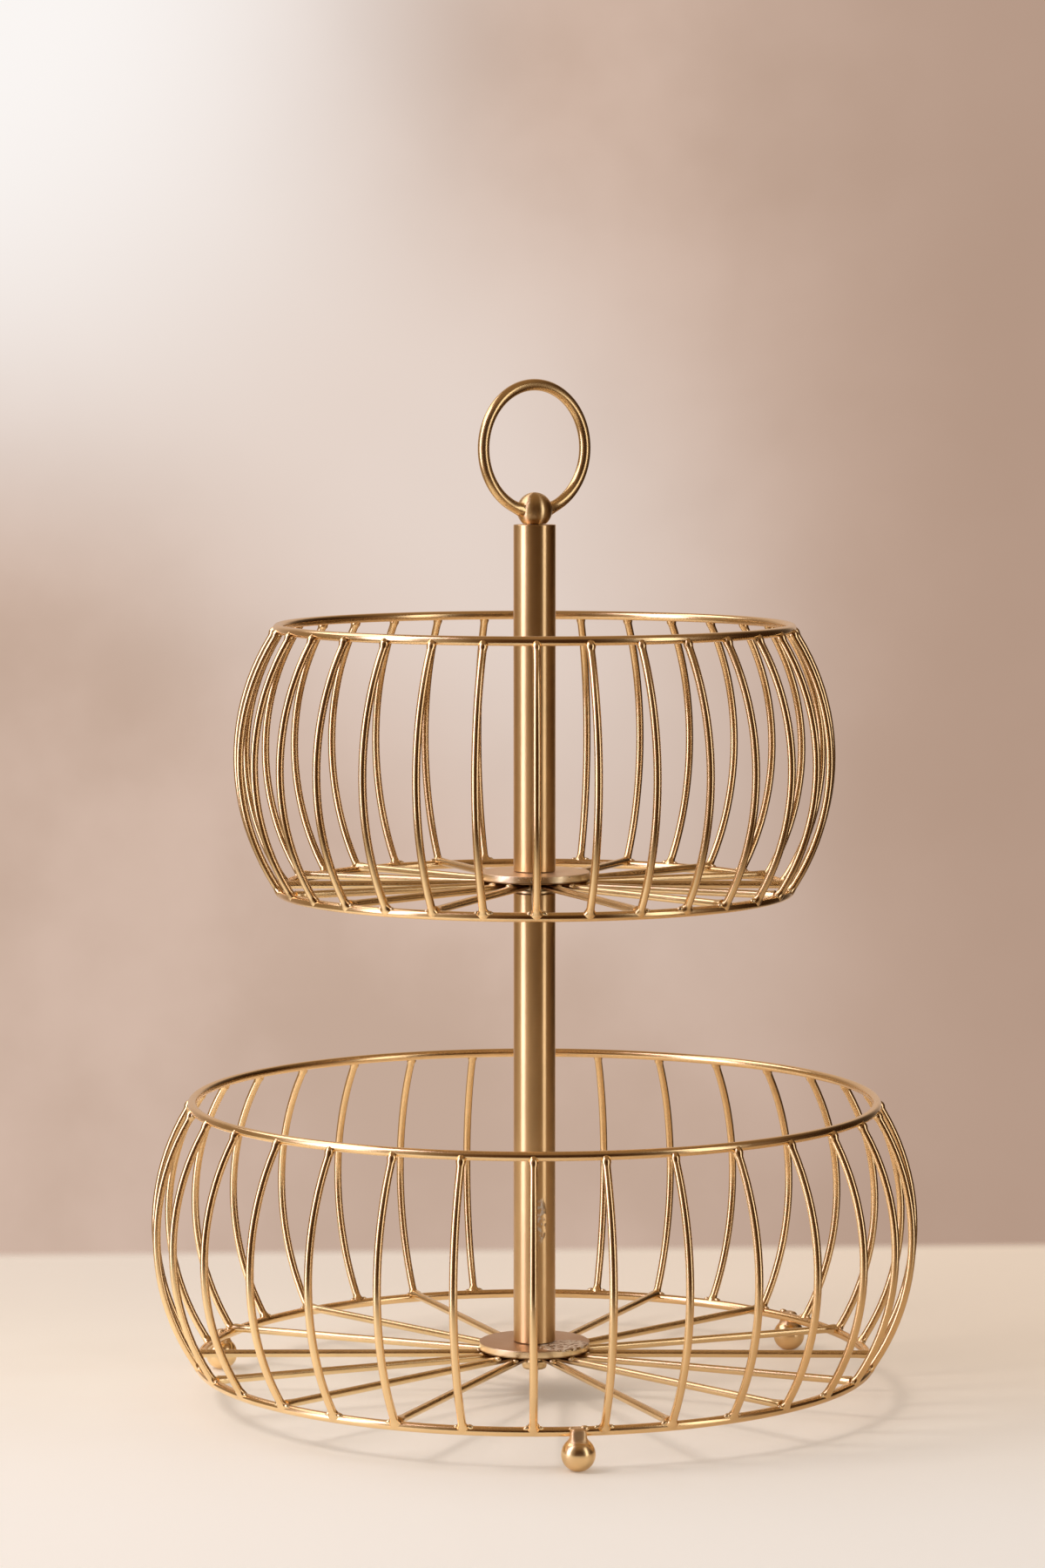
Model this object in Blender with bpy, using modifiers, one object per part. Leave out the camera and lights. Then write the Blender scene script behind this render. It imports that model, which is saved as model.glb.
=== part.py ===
"""Two-tier wire basket on a tubular post, with a ring handle and three ball feet.

Metres, +Z up. The basket stands on z = 0 and its post is the Z axis. Angles round the post
are measured from -Y, the side that faces the viewer, towards +X.
"""
import math

import bmesh
import bpy
from mathutils import Vector

# Wires
RING_WIRE_RADIUS = 0.00175
RIB_RADIUS = 0.0015
SPOKE_RADIUS = 0.0015

# Tiers, measured to the centre lines of the wires
TIER_HEIGHT = 0.0995
RIB_BULGE = 0.0158
LOWER_RIM_RADIUS = 0.1305
LOWER_BASE_RADIUS = 0.1287
UPPER_RIM_RADIUS = 0.0973
UPPER_BASE_RADIUS = 0.0973
SPOKE_END_RISE = 0.0015
HUB_RISE = 0.0036
RIB_COUNT = 32
SPOKE_COUNT = 16
UPPER_TIER_TURN = math.radians(0.6)

# Hub discs, with the bush and the washer under each
DISC_RADIUS = 0.0211
DISC_THICKNESS = 0.003
DISC_CHAMFER = 0.0003
BUSH_RADIUS = 0.0069
WASHER_RADIUS = 0.0073
WASHER_THICKNESS = 0.001

# Post tubes and the threaded plugs in their ends
TUBE_RADIUS = 0.008
TUBE_WALL = 0.001
TUBE_CHAMFER = 0.0003
LOWER_TUBE_LENGTH = 0.1725
UPPER_TUBE_LENGTH = 0.1315
PLUG_LENGTH = 0.012

# Screw and studs
STUD_RADIUS = 0.003
STUD_CHAMFER = 0.0006
STUD_ENGAGEMENT = 0.010
SCREW_HEAD_RADIUS = 0.00475
SCREW_HEAD_HEIGHT = 0.0025
SCREW_SOCKET_RADIUS = 0.002
SCREW_SOCKET_DEPTH = 0.0013

# Handle
HANDLE_BALL_RADIUS = 0.0066
HANDLE_BALL_SEAT_DEPTH = 0.0054
HANDLE_BALL_BORE_DEPTH = 0.0058
HANDLE_STUD_ENGAGEMENT = 0.009
HANDLE_RING_RADIUS = 0.0244
HANDLE_WIRE_RADIUS = 0.002
HANDLE_RING_DROP = 0.0016
HANDLE_TURN = math.radians(38)

# Feet, welded by eye about a third of a turn apart
FOOT_BALL_RADIUS = 0.006
FOOT_FLAT_DEPTH = 0.0002
FOOT_PEG_RADIUS = 0.0026
FOOT_PEG_CHAMFER = 0.0005
FOOT_OFFSET = 0.0025
FOOT_ANGLES = {
    "front_foot": math.radians(7),
    "right_foot": math.radians(129),
    "left_foot": math.radians(250),
}

# Clearances
GAP = 0.0003
MERGE_DISTANCE = 0.00001

# Facets
RING_SEGMENTS = 64
RING_SIDES = 8
RIB_STEPS = 6
SPOKE_SIDES = 8
ROUND_SEGMENTS = 32
SMALL_SEGMENTS = 16
HANDLE_RING_SEGMENTS = 48
BALL_STEPS = 8
DOME_STEPS = 3
SHARP_EDGE = math.radians(35)

# Heights up the post
foot_ball_height = FOOT_BALL_RADIUS - FOOT_FLAT_DEPTH
foot_reach = FOOT_BALL_RADIUS + RING_WIRE_RADIUS + 2 * GAP
lower_ring_height = foot_ball_height + math.sqrt(foot_reach**2 - FOOT_OFFSET**2)
bush_height = 2 * SPOKE_RADIUS + GAP
under_disc_stack = bush_height + WASHER_THICKNESS + 3 * GAP
lower_disc_top = lower_ring_height + HUB_RISE + DISC_THICKNESS
screw_head_top = lower_ring_height + HUB_RISE - under_disc_stack
lower_tube_bottom = lower_disc_top + GAP
lower_tube_top = lower_tube_bottom + LOWER_TUBE_LENGTH
upper_ring_height = lower_tube_top + under_disc_stack - HUB_RISE
upper_tube_bottom = upper_ring_height + HUB_RISE + DISC_THICKNESS + GAP
upper_tube_top = upper_tube_bottom + UPPER_TUBE_LENGTH
handle_ball_height = upper_tube_top + GAP + HANDLE_BALL_SEAT_DEPTH

# Radii that follow from the sizes above
bore_radius = STUD_RADIUS + GAP
plug_radius = TUBE_RADIUS - TUBE_WALL - GAP
spokes_meet = (SPOKE_RADIUS + GAP / 2) / math.sin(math.pi / SPOKE_COUNT)
spoke_start = max(spokes_meet, BUSH_RADIUS + GAP)


def clear_scene():
    """Remove every object that the scene starts with."""
    for item in list(bpy.data.objects):
        bpy.data.objects.remove(item, do_unlink=True)


def new_collection(name):
    """Link an empty collection to the scene."""
    collection = bpy.data.collections.new(name)
    bpy.context.scene.collection.children.link(collection)
    return collection


clear_scene()
PARTS = new_collection("tiered_wire_basket")
CUTTERS = new_collection("cutters")


def metal(name, colour, roughness):
    """A metallic Principled material."""
    material = bpy.data.materials.new(name)
    material.use_nodes = True
    shader = material.node_tree.nodes["Principled BSDF"]
    shader.inputs["Base Color"].default_value = (*colour, 1.0)
    shader.inputs["Metallic"].default_value = 1.0
    shader.inputs["Roughness"].default_value = roughness
    return material


BASKET_WIRE = metal("basket_wire", (0.72, 0.52, 0.31), 0.32)
HUB_METAL = metal("hub_metal", (0.68, 0.49, 0.32), 0.42)
TUBE_METAL = metal("tube_metal", (0.71, 0.51, 0.30), 0.34)
HANDLE_WIRE = metal("handle_wire", (0.69, 0.49, 0.25), 0.28)
BALL_METAL = metal("ball_metal", (0.71, 0.51, 0.31), 0.25)
FASTENER_METAL = metal("fastener_metal", (0.68, 0.49, 0.30), 0.38)
PLAIN_STEEL = metal("plain_steel", (0.55, 0.55, 0.53), 0.40)


def place(mesh, name, collection, parent, location=(0, 0, 0)):
    """Make an object for a mesh or a curve, set on its parent."""
    piece = bpy.data.objects.new(name, mesh)
    collection.objects.link(piece)
    piece.parent = parent
    piece.location = location
    return piece


def empty(name, height, turn=0.0):
    """An empty on the post's axis, to carry the pieces that belong together."""
    carrier = bpy.data.objects.new(name, None)
    PARTS.objects.link(carrier)
    carrier.location = (0, 0, height)
    carrier.rotation_euler = (0, 0, turn)
    return carrier


def evaluated_mesh(piece):
    """The piece's mesh with its modifiers or its bevel applied."""
    bpy.context.view_layer.update()
    graph = bpy.context.evaluated_depsgraph_get()
    return bpy.data.meshes.new_from_object(piece.evaluated_get(graph))


def finish(piece, material):
    """Apply the piece's modifiers, shade it smooth between sharp edges and give it its metal."""
    piece.data = evaluated_mesh(piece)
    piece.modifiers.clear()
    piece.data.shade_smooth()
    piece.data.set_sharp_from_angle(angle=SHARP_EDGE)
    piece.data.materials.clear()
    piece.data.materials.append(material)
    return piece


def mark_as_cutter(piece):
    """Keep a helper shape out of the model."""
    piece.hide_render = True
    piece.display_type = "WIRE"
    return piece


def combine(piece, helper, operation):
    """Join a helper shape to a piece, or cut it away."""
    boolean = piece.modifiers.new(operation.title(), "BOOLEAN")
    boolean.operation = operation
    boolean.solver = "EXACT"
    boolean.object = helper


def turned(name, outline, segments, parent, height=0.0, collection=PARTS):
    """Turn an outline about Z. Its points run down the outer side; a bored piece's close a loop."""
    shape = bmesh.new()
    points = [shape.verts.new((radius, 0, level)) for radius, level in outline]
    for start, end in zip(points, points[1:]):
        shape.edges.new((start, end))
    if outline[0][0] > 0:
        shape.edges.new((points[-1], points[0]))
    mesh = bpy.data.meshes.new(name)
    shape.to_mesh(mesh)
    shape.free()
    piece = place(mesh, name, collection, parent, (0, 0, height))
    screw = piece.modifiers.new("Turn", "SCREW")
    screw.steps = segments
    screw.render_steps = segments
    screw.use_merge_vertices = True
    screw.merge_threshold = MERGE_DISTANCE
    return piece


def torus(name, radius, wire_radius, segments, collection, parent):
    """A wire ring that lies flat about its parent's Z axis."""
    bpy.ops.mesh.primitive_torus_add(
        major_segments=segments,
        minor_segments=RING_SIDES,
        major_radius=radius,
        minor_radius=wire_radius,
    )
    made = bpy.context.object
    mesh = made.data
    bpy.data.objects.remove(made, do_unlink=True)
    return place(mesh, name, collection, parent)


def around(radius, angle, height):
    """A point at a radius and an angle round the post."""
    return Vector((radius * math.sin(angle), -radius * math.cos(angle), height))


def rib_outline(base_radius, rim_radius):
    """Points of one bowed rib as radius and height, from just above the base ring to the rim."""
    foot = Vector((base_radius, 0))
    head = Vector((rim_radius, TIER_HEIGHT))
    chord = head - foot
    along = chord.normalized()
    outward = Vector((along.y, -along.x))
    bow_radius = (chord.length**2 / 4 + RIB_BULGE**2) / (2 * RIB_BULGE)
    centre = (foot + head) / 2 - outward * (bow_radius - RIB_BULGE)
    half_sweep = math.asin(chord.length / 2 / bow_radius)
    start = -half_sweep + (RING_WIRE_RADIUS + GAP) / bow_radius
    steps = [start + (half_sweep - start) * step / RIB_STEPS for step in range(RIB_STEPS + 1)]
    return [
        centre + bow_radius * (outward * math.cos(sweep) + along * math.sin(sweep))
        for sweep in steps
    ]


def rib_set(name, base_radius, rim_radius, parent):
    """All the ribs of a tier as one helper mesh of separate bowed wires."""
    curve = bpy.data.curves.new(name, "CURVE")
    curve.dimensions = "3D"
    curve.bevel_depth = RIB_RADIUS
    curve.bevel_resolution = 1
    curve.use_fill_caps = True
    outline = rib_outline(base_radius, rim_radius)
    for rib in range(RIB_COUNT):
        angle = 2 * math.pi * rib / RIB_COUNT
        spline = curve.splines.new("POLY")
        spline.points.add(len(outline) - 1)
        for point, (radius, level) in zip(spline.points, outline):
            point.co = (*around(radius, angle, level), 1)
    wires = place(curve, name + "_curve", CUTTERS, parent)
    mesh = evaluated_mesh(wires)
    shape = bmesh.new()
    shape.from_mesh(mesh)
    bmesh.ops.remove_doubles(shape, verts=shape.verts, dist=MERGE_DISTANCE)
    shape.to_mesh(mesh)
    shape.free()
    solid = place(mesh, name, CUTTERS, parent)
    solid.matrix_world = wires.matrix_world
    bpy.data.objects.remove(wires, do_unlink=True)
    return mark_as_cutter(solid)


def rim_and_ribs(tier, base_radius, rim_radius, parent):
    """The rim ring with every rib welded to its underside."""
    rim = torus(tier + "_rim_and_ribs", rim_radius, RING_WIRE_RADIUS, RING_SEGMENTS, PARTS, parent)
    rim.location.z = TIER_HEIGHT
    combine(rim, rib_set(tier + "_ribs", base_radius, rim_radius, parent), "UNION")
    finish(rim, BASKET_WIRE)


def base_ring(tier, radius, parent):
    """The ring that the ribs stand on."""
    ring = torus(tier + "_base_ring", radius, RING_WIRE_RADIUS, RING_SEGMENTS, PARTS, parent)
    finish(ring, BASKET_WIRE)


def spokes(tier, base_radius, parent):
    """Straight wires from the base ring to the underside of the hub disc, under every other rib."""
    inner_level = HUB_RISE - GAP - SPOKE_RADIUS
    spoke_end = base_radius - RING_WIRE_RADIUS - GAP
    slope = Vector((spoke_end - spoke_start, SPOKE_END_RISE - inner_level))
    shape = bmesh.new()
    bmesh.ops.create_cone(
        shape,
        cap_ends=True,
        segments=SPOKE_SIDES,
        radius1=SPOKE_RADIUS,
        radius2=SPOKE_RADIUS,
        depth=slope.length,
    )
    mesh = bpy.data.meshes.new(tier + "_spoke")
    shape.to_mesh(mesh)
    shape.free()
    for number in range(SPOKE_COUNT):
        angle = 2 * math.pi * number / SPOKE_COUNT
        start = around(spoke_start, angle, inner_level)
        end = around(spoke_end, angle, SPOKE_END_RISE)
        spoke = place(mesh, f"{tier}_spoke_{number + 1:02d}", PARTS, parent, (start + end) / 2)
        spoke.rotation_mode = "QUATERNION"
        spoke.rotation_quaternion = (end - start).to_track_quat("Z", "Y")
    mesh.shade_smooth()
    mesh.set_sharp_from_angle(angle=SHARP_EDGE)
    mesh.materials.append(BASKET_WIRE)


def hub_disc(tier, parent):
    """The round plate over the spokes, clamped between the post's pieces."""
    top = HUB_RISE + DISC_THICKNESS
    outline = [
        (DISC_RADIUS - DISC_CHAMFER, top),
        (DISC_RADIUS, top - DISC_CHAMFER),
        (DISC_RADIUS, HUB_RISE + DISC_CHAMFER),
        (DISC_RADIUS - DISC_CHAMFER, HUB_RISE),
        (bore_radius, HUB_RISE),
        (bore_radius, top),
    ]
    finish(turned(tier + "_hub_disc", outline, ROUND_SEGMENTS, parent), HUB_METAL)


def sleeve(name, radius, top, bottom, parent, material):
    """A short round piece with the stud's bore through it."""
    outline = [(radius, top), (radius, bottom), (bore_radius, bottom), (bore_radius, top)]
    finish(turned(name, outline, SMALL_SEGMENTS, parent), material)


def under_hub(tier, parent):
    """The bush that the spokes gather round and the washer below it."""
    bush_top = HUB_RISE - GAP
    bush_bottom = bush_top - bush_height
    washer_top = bush_bottom - GAP
    sleeve(tier + "_hub_bush", BUSH_RADIUS, bush_top, bush_bottom, parent, FASTENER_METAL)
    sleeve(
        tier + "_washer",
        WASHER_RADIUS,
        washer_top,
        washer_top - WASHER_THICKNESS,
        parent,
        FASTENER_METAL,
    )


def tier_wires(tier, base_radius, rim_radius, carrier):
    """One basket: its wall, floor and hub disc."""
    rim_and_ribs(tier, base_radius, rim_radius, carrier)
    base_ring(tier, base_radius, carrier)
    spokes(tier, base_radius, carrier)
    hub_disc(tier, carrier)


def tube(name, bottom, length, parent):
    """One tube of the post, with its outer edges broken."""
    top = bottom + length
    inner = TUBE_RADIUS - TUBE_WALL
    outline = [
        (TUBE_RADIUS - TUBE_CHAMFER, top),
        (TUBE_RADIUS, top - TUBE_CHAMFER),
        (TUBE_RADIUS, bottom + TUBE_CHAMFER),
        (TUBE_RADIUS - TUBE_CHAMFER, bottom),
        (inner, bottom),
        (inner, top),
    ]
    finish(turned(name, outline, ROUND_SEGMENTS, parent), TUBE_METAL)
    sleeve(name + "_bottom_plug", plug_radius, bottom + PLUG_LENGTH, bottom, parent, TUBE_METAL)
    sleeve(name + "_top_plug", plug_radius, top, top - PLUG_LENGTH, parent, TUBE_METAL)


def stud(name, top, bottom, parent):
    """A headless threaded stud, drawn at its major diameter."""
    outline = [
        (0, top),
        (STUD_RADIUS - STUD_CHAMFER, top),
        (STUD_RADIUS, top - STUD_CHAMFER),
        (STUD_RADIUS, bottom + STUD_CHAMFER),
        (STUD_RADIUS - STUD_CHAMFER, bottom),
        (0, bottom),
    ]
    finish(turned(name, outline, SMALL_SEGMENTS, parent), PLAIN_STEEL)


def base_screw(parent):
    """The domed screw that holds the post to the lower basket from below."""
    top = lower_tube_bottom + STUD_ENGAGEMENT
    head_bottom = screw_head_top - SCREW_HEAD_HEIGHT
    dome_height = SCREW_HEAD_HEIGHT / 2
    outline = [
        (0, top),
        (STUD_RADIUS - STUD_CHAMFER, top),
        (STUD_RADIUS, top - STUD_CHAMFER),
        (STUD_RADIUS, screw_head_top),
        (SCREW_HEAD_RADIUS, screw_head_top),
    ]
    face_radius = SCREW_HEAD_RADIUS - dome_height
    for step in range(DOME_STEPS + 1):
        turn = math.pi / 2 * step / DOME_STEPS
        edge = face_radius + dome_height * math.cos(turn)
        outline.append((edge, head_bottom + dome_height * (1 - math.sin(turn))))
    outline.append((0, head_bottom))
    screw = turned("base_screw", outline, SMALL_SEGMENTS, parent)
    shape = bmesh.new()
    bmesh.ops.create_cone(
        shape,
        cap_ends=True,
        segments=6,
        radius1=SCREW_SOCKET_RADIUS,
        radius2=SCREW_SOCKET_RADIUS,
        depth=2 * SCREW_SOCKET_DEPTH,
    )
    mesh = bpy.data.meshes.new("screw_socket")
    shape.to_mesh(mesh)
    shape.free()
    socket = mark_as_cutter(place(mesh, "screw_socket", CUTTERS, parent, (0, 0, head_bottom)))
    combine(screw, socket, "DIFFERENCE")
    finish(screw, FASTENER_METAL)


def ball_arc(radius, start, end, steps):
    """Points on a ball's outline between two angles from its top."""
    turns = [start + (end - start) * step / steps for step in range(steps + 1)]
    return [(radius * math.sin(turn), radius * math.cos(turn)) for turn in turns]


def handle_ball(parent):
    """The ball under the handle ring, flat where it seats on the post and bored for its stud."""
    seat_angle = math.pi - math.acos(HANDLE_BALL_SEAT_DEPTH / HANDLE_BALL_RADIUS)
    outline = ball_arc(HANDLE_BALL_RADIUS, 0, seat_angle, BALL_STEPS)
    outline[0] = (0, HANDLE_BALL_RADIUS)
    bore_top = HANDLE_BALL_BORE_DEPTH - HANDLE_BALL_SEAT_DEPTH
    outline.append((bore_radius, -HANDLE_BALL_SEAT_DEPTH))
    outline.append((bore_radius, bore_top))
    outline.append((0, bore_top))
    finish(turned("handle_ball", outline, SMALL_SEGMENTS, parent), BALL_METAL)


def handle_ring(parent):
    """The upright wire ring, open at the bottom where both its ends meet the ball."""
    ring = torus(
        "handle_ring",
        HANDLE_RING_RADIUS,
        HANDLE_WIRE_RADIUS,
        HANDLE_RING_SEGMENTS,
        PARTS,
        parent,
    )
    ring.location.z = HANDLE_RING_RADIUS - HANDLE_RING_DROP
    ring.rotation_euler.x = math.pi / 2
    shape = bmesh.new()
    bmesh.ops.create_uvsphere(
        shape,
        u_segments=SMALL_SEGMENTS,
        v_segments=SMALL_SEGMENTS // 2,
        radius=HANDLE_BALL_RADIUS + GAP,
    )
    mesh = bpy.data.meshes.new("handle_ball_room")
    shape.to_mesh(mesh)
    shape.free()
    room = mark_as_cutter(place(mesh, "handle_ball_room", CUTTERS, parent))
    combine(ring, room, "DIFFERENCE")
    finish(ring, HANDLE_WIRE)


def handle():
    """The ring, its ball and the stud that screws into the top of the post."""
    axis = empty("handle_axis", handle_ball_height, HANDLE_TURN)
    handle_ball(axis)
    handle_ring(axis)
    seat = -HANDLE_BALL_SEAT_DEPTH
    stud_top = seat + HANDLE_BALL_BORE_DEPTH - GAP
    stud("handle_stud", stud_top, seat - GAP - HANDLE_STUD_ENGAGEMENT, axis)


def foot(name, angle, ring_room):
    """A ball foot with a short peg, hollowed to fit the outside of the lower base ring."""
    peg_top = lower_ring_height + RING_WIRE_RADIUS - foot_ball_height
    peg_turn = math.asin(FOOT_PEG_RADIUS / FOOT_BALL_RADIUS)
    flat_turn = math.pi - math.acos(foot_ball_height / FOOT_BALL_RADIUS)
    outline = [
        (0, peg_top),
        (FOOT_PEG_RADIUS - FOOT_PEG_CHAMFER, peg_top),
        (FOOT_PEG_RADIUS, peg_top - FOOT_PEG_CHAMFER),
    ]
    outline += ball_arc(FOOT_BALL_RADIUS, peg_turn, flat_turn, BALL_STEPS)
    outline.append((0, -foot_ball_height))
    piece = turned(name, outline, SMALL_SEGMENTS, None)
    piece.location = around(LOWER_BASE_RADIUS + FOOT_OFFSET, angle, foot_ball_height)
    piece.rotation_euler.z = angle
    combine(piece, ring_room, "DIFFERENCE")
    finish(piece, BALL_METAL)


def feet():
    """The three feet under the lower basket."""
    room = torus(
        "base_ring_room",
        LOWER_BASE_RADIUS,
        RING_WIRE_RADIUS + GAP,
        RING_SEGMENTS,
        CUTTERS,
        None,
    )
    room.location.z = lower_ring_height
    mark_as_cutter(room)
    for name, angle in FOOT_ANGLES.items():
        foot(name, angle, room)


def post():
    """Both tubes, with the screw and the stud that hold the baskets between them."""
    axis = empty("post_axis", 0.0)
    tube("lower_tube", lower_tube_bottom, LOWER_TUBE_LENGTH, axis)
    tube("upper_tube", upper_tube_bottom, UPPER_TUBE_LENGTH, axis)
    base_screw(axis)
    stud(
        "joining_stud",
        upper_tube_bottom + STUD_ENGAGEMENT,
        lower_tube_top - STUD_ENGAGEMENT,
        axis,
    )


def lower_basket():
    """The wide basket, fixed on its feet."""
    seat = empty("lower_basket_seat", lower_ring_height)
    tier_wires("lower", LOWER_BASE_RADIUS, LOWER_RIM_RADIUS, seat)
    under_hub("lower", seat)
    feet()


def upper_basket():
    """The narrow basket, which turns on the post, over a bush and washer that stay still."""
    axis = empty("upper_basket_axis", upper_ring_height, UPPER_TIER_TURN)
    tier_wires("upper", UPPER_BASE_RADIUS, UPPER_RIM_RADIUS, axis)
    under_hub("upper", empty("upper_basket_seat", upper_ring_height))


lower_basket()
upper_basket()
post()
handle()
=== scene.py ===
"""The looks of the tiered wire basket: its wires, welds and plated metal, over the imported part.

Metres, +Z up. The post is the Z axis, and angles round it are measured from -Y towards +X.
"""
import math
import random

import bmesh
import bpy
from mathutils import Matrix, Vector


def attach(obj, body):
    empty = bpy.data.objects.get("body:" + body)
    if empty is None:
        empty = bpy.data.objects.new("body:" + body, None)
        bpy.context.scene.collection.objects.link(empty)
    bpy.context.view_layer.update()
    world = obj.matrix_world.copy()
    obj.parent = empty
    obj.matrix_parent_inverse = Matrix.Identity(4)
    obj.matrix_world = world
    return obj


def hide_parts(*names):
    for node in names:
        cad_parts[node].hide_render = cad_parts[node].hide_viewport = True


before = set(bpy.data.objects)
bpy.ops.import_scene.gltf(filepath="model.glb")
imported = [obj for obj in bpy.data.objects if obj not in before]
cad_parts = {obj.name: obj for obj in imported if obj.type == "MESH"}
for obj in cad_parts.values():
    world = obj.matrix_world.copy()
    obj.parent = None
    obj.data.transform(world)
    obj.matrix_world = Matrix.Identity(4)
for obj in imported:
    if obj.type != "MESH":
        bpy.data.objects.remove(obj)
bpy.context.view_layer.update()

# Wires
RING_WIRE_RADIUS = 0.00175
RIB_RADIUS = 0.0015
SPOKE_RADIUS = 0.0015

# Tiers, measured to the centre lines of the wires
TIER_HEIGHT = 0.0995
RIB_BULGE = 0.0156
LOWER_RIM_RADIUS = 0.1305
LOWER_BASE_RADIUS = 0.1287
UPPER_RIM_RADIUS = 0.0973
UPPER_BASE_RADIUS = 0.0973
LOWER_RING_HEIGHT = 0.013767
UPPER_RING_HEIGHT = 0.194767
SPOKE_START = 0.00846
SPOKE_START_RISE = 0.0018
SPOKE_END_GAP = 0.0006
SPOKE_END_RISE = 0.0015
HUB_RISE = 0.0036
RIB_COUNT = 32
SPOKE_COUNT = 16
UPPER_TIER_TURN = math.radians(0.6)

# How ribs and spokes swell at their welds. A range says how much a size varies from wire to wire
RIB_FOOT_FLARE = 0.0010
RIB_FOOT_FLARE_RANGE = (0.75, 1.25)
RIB_FOOT_FLARE_START = 0.7 * RING_WIRE_RADIUS
RIB_FOOT_FLARE_REACH = 0.0040
RIB_FOOT_FLARE_DEPTH_SHARE = 0.25
RIB_HEAD_BULGE = 0.00045
RIB_HEAD_BULGE_RANGE = (0.7, 1.3)
RIB_HEAD_BULGE_DROP = 0.0023
RIB_HEAD_BULGE_SPREAD = 0.0012
RIB_HEAD_BULGE_WIDTH_SHARE = 0.8
RIB_HEAD_BULGE_SHIFT = 0.5
SPOKE_FLARE = 0.0009
SPOKE_FLARE_RANGE = (0.7, 1.3)
SPOKE_FLARE_START = 0.955
SPOKE_FLARE_DEPTH_SHARE = 0.3

# Weld beads: three half sizes each, then the range of their sizes and where they sit at a joint
WELD_SEED = 11
RIM_BEAD = (0.0015, 0.0009, 0.0017)
RIM_BEAD_RANGE = (0.8, 1.2)
RIM_BEAD_OUT = 0.0011
RIM_BEAD_DROP = 0.0016
RIM_BEAD_STRAY = 0.0004
RIM_BEAD_TILT = 0.3
RIM_BEAD_LEAN = 0.25
RIB_FOOT_BEAD = (0.0011, 0.0008, 0.0007)
RIB_FOOT_BEAD_RANGE = (0.8, 1.4)
RIB_FOOT_BEAD_MISSING = 0.15
RIB_FOOT_BEAD_OUT = 0.0008
RIB_FOOT_BEAD_SIDE = 0.0023
RIB_FOOT_BEAD_STRAY = 0.0006
RIB_FOOT_BEAD_RISE = 0.0015
RIB_FOOT_BEAD_LEAN = 0.35
HUB_BEAD = (0.0017, 0.0012, 0.0008)
HUB_BEAD_RANGE = (0.7, 1.15)
HUB_BEAD_OUT = 0.0002
HUB_BEAD_DROP = 0.0008
HUB_BEAD_SIDE_RANGE = (0.0008, 0.0016)
HANDLE_BEAD = (0.0011, 0.0008, 0.0006)
HANDLE_BEAD_RANGE = (0.6, 1.15)
HANDLE_BEAD_TURNS = (-55, -20, 15, 50)
HANDLE_BEAD_REACH = 0.0026
HANDLE_BEAD_RISE = -0.0002
LUG_BEAD = (0.0014, 0.0011, 0.0009)
LUG_BEAD_RANGES = {-1: (0.6, 0.8), 1: (1.0, 1.25)}
LUG_BEAD_OUT = 0.0016
LUG_BEAD_SIDE = 0.0024
LUG_BEAD_RISE = 0.0014

# Hub discs, bushes and washers
DISC_RADIUS = 0.0211
DISC_THICKNESS = 0.003
DISC_EDGE = 0.00035
BORE_RADIUS = 0.0033
BUSH_RADIUS = 0.0069
BUSH_HEIGHT = 0.0033
WASHER_RADIUS = 0.0073
WASHER_THICKNESS = 0.001
GAP = 0.0003
SMALL_EDGE = 0.00015

# Post
TUBE_RADIUS = 0.008
TUBE_WALL = 0.001
TUBE_EDGE = 0.0003
LOWER_TUBE = (0.020667, 0.193167)
UPPER_TUBE = (0.201667, 0.333167)
PLUG_RADIUS = 0.0067
PLUG_LENGTH = 0.012

# Base screw
SCREW_HEAD = (0.009667, 0.012167)
SCREW_HEAD_RADIUS = 0.00475
SCREW_FACE_RADIUS = 0.0035
SCREW_SOCKET_RADIUS = 0.002
SCREW_SOCKET_DEPTH = 0.0013

# Handle
HANDLE_BALL_CENTRE = 0.338617
HANDLE_BALL_RADIUS = 0.00675
HANDLE_BALL_SEAT_DEPTH = 0.00515
HANDLE_BALL_BORE_DEPTH = 0.0058
HANDLE_RING_RADIUS = 0.0239
HANDLE_WIRE_RADIUS = 0.0022
HANDLE_RING_DROP = 0.00056
HANDLE_TURN = math.radians(37)
HANDLE_RING_START = math.radians(13.2)
HANDLE_FLARE = 0.0006
HANDLE_FLARE_ANGLE = math.radians(15)
STUD_RADIUS = 0.003
STUD_BOTTOM = 0.324167
STUD_TOP = 0.338967
THREAD_PITCH = 0.001
THREAD_DEPTH = 0.0005

# Feet
FOOT_BALL_RADIUS = 0.0062
FOOT_BALL_HEIGHT = 0.0060
FOOT_OFFSET = 0.0025
FOOT_ANGLES = {
    "front_foot": math.radians(7),
    "right_foot": math.radians(129),
    "left_foot": math.radians(250),
}
# Each foot's lug: height, half depth, half width and squareness of its section
FOOT_LUG = (
    (0.0100, 0.00465, 0.00465, 2.0),
    (0.0104, 0.00430, 0.00430, 2.0),
    (0.0110, 0.00375, 0.00375, 2.3),
    (0.0115, 0.00338, 0.00335, 2.8),
    (0.0120, 0.00316, 0.00308, 3.5),
    (0.0126, 0.00300, 0.00296, 4.0),
    (0.0135, 0.00277, 0.00295, 4.0),
    (0.0143, 0.00255, 0.00288, 4.0),
    (0.0149, 0.00232, 0.00268, 4.0),
    (0.0153, 0.00200, 0.00235, 3.5),
    (0.0155, 0.00150, 0.00185, 3.0),
)

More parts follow.
